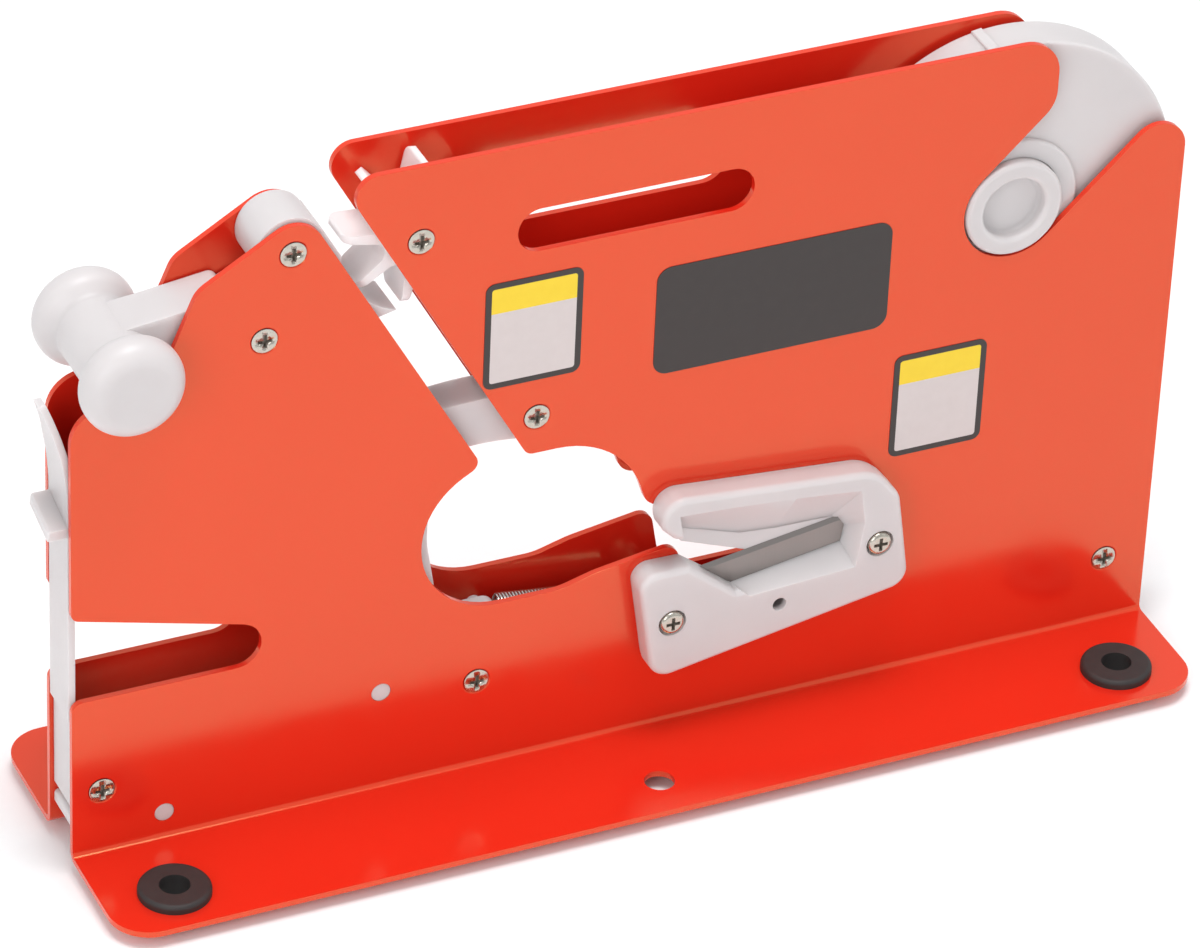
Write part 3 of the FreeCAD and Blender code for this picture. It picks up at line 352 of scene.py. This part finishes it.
paint = powder_coat()
acetal = moulded_acetal("moulded_acetal", "#CBC6C6", "#D3CECE")
# The wheel and the knife holder take a paler copy of the acetal: painted light that lifts them out of
# the shade between the plates.
lightened_acetal = moulded_acetal("moulded_acetal_painted_light", "#E8E4E4", "#F0ECEC")
rubber = grommet_rubber()
nickel = nickel_plate()
# The darker recess metal is painted shade for the screws' crosses.
recess = painted_recess_shade()
steel = ground_steel()
wire_steel = spring_wire()
plate_film = film("printed_film_dark", "#2B2422", "#322B29", 0.38)
border_film = film("printed_film_border", "#2E2826", "#352F2C", 0.42)
header_film = film("printed_film_yellow", "#EBC81F", "#F2D22C", 0.42)
field_film = film("printed_film_pale", "#CCC1BF", "#D3C9C7", 0.42)


def finish_piece(piece_mesh, name, body, materials, replaced):
    """Links a mesh as a finished piece that stands for CAD nodes and rides on a body, if given."""
    mesh = bpy.data.meshes.new(name)
    piece_mesh.to_mesh(mesh)
    piece_mesh.free()
    mesh.set_sharp_from_angle(angle=SHARP)
    for polygon in mesh.polygons:
        polygon.use_smooth = True
    for item in materials:
        mesh.materials.append(item)
    piece = bpy.data.objects.new(name, mesh)
    bpy.context.scene.collection.objects.link(piece)
    if body:
        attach(piece, body)
    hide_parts(*replaced)
    return piece


def merged_copy(node):
    """A copy of a CAD node's mesh, merged and with its flat stretches made single faces."""
    shape = bmesh.new()
    shape.from_mesh(frame["nodes"][node].data)
    bmesh.ops.remove_doubles(shape, verts=shape.verts, dist=MERGE)
    bmesh.ops.dissolve_limit(shape, angle_limit=FLAT, verts=shape.verts, edges=shape.edges)
    return shape


def softened(node, width, materials, second=None):
    """A copy of a CAD node with its sharp edges rounded, which stands for the node. Faces that
    second() picks take the second material and keep their edges crisp."""
    shape = merged_copy(node)
    sharp = [edge for edge in shape.edges if edge.is_manifold and edge.calc_face_angle() > SHARP
             and not (second and any(second(face) for face in edge.link_faces))]
    bmesh.ops.bevel(shape, geom=sharp, offset=width, offset_type="OFFSET", affect="EDGES",
                    segments=EDGE_STEPS, profile=0.5, material=-1, clamp_overlap=True)
    bmesh.ops.dissolve_degenerate(shape, dist=SLIVER, edges=shape.edges)
    for face in shape.faces:
        if second and second(face):
            face.material_index = 1
    body = frame["nodes"][node]["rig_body"]
    piece = finish_piece(shape, node + "_piece", body, materials, [node])
    weighted = piece.modifiers.new("even_faces", "WEIGHTED_NORMAL")
    weighted.keep_sharp = True
    return piece


def screw_axes(node):
    """Where each screw of a node stands, as points at y 0: the middles of its separate shells."""
    shape = merged_copy(node)
    waiting = dict.fromkeys(shape.verts)
    axes = []
    while waiting:
        shell = [next(iter(waiting))]
        del waiting[shell[0]]
        # The shell grows while it is walked, until no neighbour is left waiting.
        for vert in shell:
            for edge in vert.link_edges:
                other = edge.other_vert(vert)
                if other in waiting:
                    del waiting[other]
                    shell.append(other)
        across = [vert.co.x for vert in shell]
        upward = [vert.co.z for vert in shell]
        axes.append(Vector((min(across) + max(across), 0, min(upward) + max(upward))) / 2)
    shape.free()
    return axes


def build_screws(node):
    """Screws with rounded heads and cross recesses painted dark as shade."""
    axes = screw_axes(node)
    low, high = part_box(node)
    top = max(-low.y, high.y)

    def in_recess(face):
        centre = face.calc_center_median()
        depth = top - abs(centre.y)
        flat = Vector((centre.x, 0, centre.z))
        near = min((flat - axis).length for axis in axes)
        wall_or_floor = abs(face.normal.y) < STEEP or depth > RECESS_SHELF
        return near < RECESS_RADIUS and RECESS_TOP < depth < RECESS_FLOOR and wall_or_floor

    # The recess faces take the darker material: painted shade inside each cross.
    piece = softened(node, SCREW_EDGE, [nickel, recess], in_recess)
    # The rims are drawn in, which leaves a thin gap round each countersunk head.
    for vertex in piece.data.vertices:
        spokes = [Vector((vertex.co.x - axis.x, 0, vertex.co.z - axis.z)) for axis in axes]
        spoke = min(spokes, key=lambda item: item.length)
        if spoke.length > RIM_RADIUS:
            vertex.co -= spoke.normalized() * RIM_GAP


def wire_section(shape, centre, across, along):
    """A ring of the wire's section at a point, in the plane of two directions, ready to spin."""
    turn = Matrix((across, along, across.cross(along))).transposed().to_4x4()
    ring = bmesh.ops.create_circle(shape, segments=WIRE_SIDES, radius=WIRE,
                                   matrix=Matrix.Translation(centre) @ turn)
    # Keys of a dictionary drop the repeats and keep their order.
    edges = dict.fromkeys(edge for vert in ring["verts"] for edge in vert.link_edges)
    return [*ring["verts"], *edges]


def build_spring():
    """Tension spring: a closed coil with an eye at the gate's ear and a loop round the post."""
    line = (POST - EAR).normalized()
    depth = Vector((0, 1, 0))
    coil_start = EAR + line * (EYE + LEAD)
    coil_length = (POST - EAR).length - EYE - LOOP - 2 * LEAD
    side = line.cross(depth).normalized()
    steps = TURNS * TURN_STEPS
    shape = bmesh.new()
    section = wire_section(shape, coil_start + side * COIL, side, line)
    bmesh.ops.spin(shape, geom=section, cent=coil_start, axis=line, dvec=line * (coil_length / steps),
                   angle=2 * math.pi * TURNS, steps=steps, use_merge=False, use_duplicate=False)
    for centre, radius, away in ((EAR, EYE, line), (POST, LOOP, -line)):
        section = wire_section(shape, centre + away * radius, away, depth)
        bmesh.ops.spin(shape, geom=section, cent=centre, axis=depth, dvec=(0, 0, 0),
                       angle=2 * math.pi, steps=RING_STEPS, use_merge=True, use_duplicate=False)
        middle = Matrix.Translation(centre + away * (radius + LEAD / 2))
        turn = away.to_track_quat("Z", "Y").to_matrix().to_4x4()
        bmesh.ops.create_cone(shape, cap_ends=True, segments=WIRE_SIDES, radius1=WIRE, radius2=WIRE,
                              depth=LEAD, matrix=middle @ turn)
    bmesh.ops.recalc_face_normals(shape, faces=shape.faces)
    piece = finish_piece(shape, "gate_spring_wire", None, [wire_steel],
                         ["gate_spring"])
    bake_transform(piece)


def build_label(node):
    """Blank label: dark border, yellow header and a pale field, in one thin rounded film."""
    low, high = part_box(node)
    level = high.z - LABEL_HEADER

    def inside(point):
        return (low.x + LABEL_BORDER < point.x < high.x - LABEL_BORDER
                and low.z + LABEL_BORDER < point.z < high.z - LABEL_BORDER)

    shape = merged_copy(node)
    front = [face for face in shape.faces if face.normal.y < FRONT]
    bmesh.ops.inset_region(shape, faces=front, thickness=LABEL_BORDER, depth=0)
    inner = [face for face in shape.faces
             if face.normal.y < FRONT and inside(face.calc_center_median())]
    verts = dict.fromkeys(vert for face in inner for vert in face.verts)
    edges = dict.fromkeys(edge for face in inner for edge in face.edges)
    bmesh.ops.bisect_plane(shape, geom=[*verts, *edges, *inner], plane_co=(0, 0, level),
                           plane_no=(0, 0, 1))
    films = [border_film, header_film, field_film]
    for face in shape.faces:
        centre = face.calc_center_bounds()
        if face.normal.y < FRONT and inside(centre):
            face.material_index = films.index(header_film if centre.z > level else field_film)
    body = frame["nodes"][node]["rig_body"]
    finish_piece(shape, node + "_piece", body, films, [node])


PLASTIC = ("nose_guide", "clamp_lever", "gate_arm", "base_block", "tab_lever", "guard_back",
           "cutter_guard", "reel_axle", "reel_drum")
# Parts that sit in the shade between the plates, painted lighter than the rest of the acetal.
LIGHTENED_PLASTIC = ("star_wheel", "knife_holder")
SCREWS = ("plate_screws_front", "plate_screws_rear", "guard_screws")

for node in ("front_plate", "rear_plate"):
    softened(node, PLATE_EDGE, [paint])
for node in PLASTIC:
    softened(node, PLASTIC_EDGE, [acetal])
for node in LIGHTENED_PLASTIC:
    softened(node, PLASTIC_EDGE, [lightened_acetal])
for node in SCREWS:
    build_screws(node)
softened("trim_blade", METAL_EDGE, [steel])
build_spring()
for node in ("label_upper", "label_lower"):
    build_label(node)

CARRIED = {
    "spacer_posts": nickel,
    "tab_lever_pin": nickel,
    "tape_knife": steel,
    "nameplate": plate_film,
    "foot_front_left": rubber,
    "foot_front_right": rubber,
    "foot_rear_left": rubber,
    "foot_rear_right": rubber,
}
for node, material in CARRIED.items():
    for material_slot in frame["nodes"][node].material_slots:
        material_slot.material = material


def build_stage():
    """Plain pale floor."""
    shape = bmesh.new()
    bmesh.ops.create_grid(shape, x_segments=2, y_segments=2, size=FLOOR_REACH)
    mesh = bpy.data.meshes.new("floor")
    shape.to_mesh(mesh)
    shape.free()
    mesh.materials.append(studio_paper())
    floor = bpy.data.objects.new("floor", mesh)
    bpy.context.scene.collection.objects.link(floor)


def build_lights():
    """Soft studio light: large panels above, left and right, and a pale surround."""
    for name, place, size, power in PANELS:
        light = bpy.data.lights.new(name, "AREA")
        light.size = size
        light.energy = power
        lamp = bpy.data.objects.new(name, light)
        lamp.location = place
        lamp.rotation_mode = "QUATERNION"
        lamp.rotation_quaternion = (LIT_POINT - place).to_track_quat("-Z", "Y")
        bpy.context.scene.collection.objects.link(lamp)
    world = bpy.data.worlds.new("pale_surround")
    world.use_nodes = True
    world.node_tree.nodes.clear()
    sky = add(world.node_tree, "ShaderNodeBackground",
              {"Color": linear(SURROUND), "Strength": SURROUND_STRENGTH})
    add(world.node_tree, "ShaderNodeOutputWorld", {}, {"Surface": sky.outputs["Background"]})
    bpy.context.scene.world = world


def build_camera():
    """Camera in front, to the left and above."""
    ahead = CAMERA_AHEAD.normalized()
    right = (CAMERA_RIGHT - ahead * CAMERA_RIGHT.dot(ahead)).normalized()
    turn = Matrix((right, right.cross(ahead), -ahead)).transposed()
    data = bpy.data.cameras.new("camera")
    data.lens = LENS
    data.sensor_width = SENSOR
    camera = bpy.data.objects.new("camera", data)
    camera.location = CAMERA_PLACE
    camera.rotation_mode = "QUATERNION"
    camera.rotation_quaternion = turn.to_quaternion()
    bpy.context.scene.collection.objects.link(camera)
    bpy.context.scene.camera = camera


build_stage()
build_lights()
build_camera()
bpy.context.scene.view_settings.view_transform = "Standard"
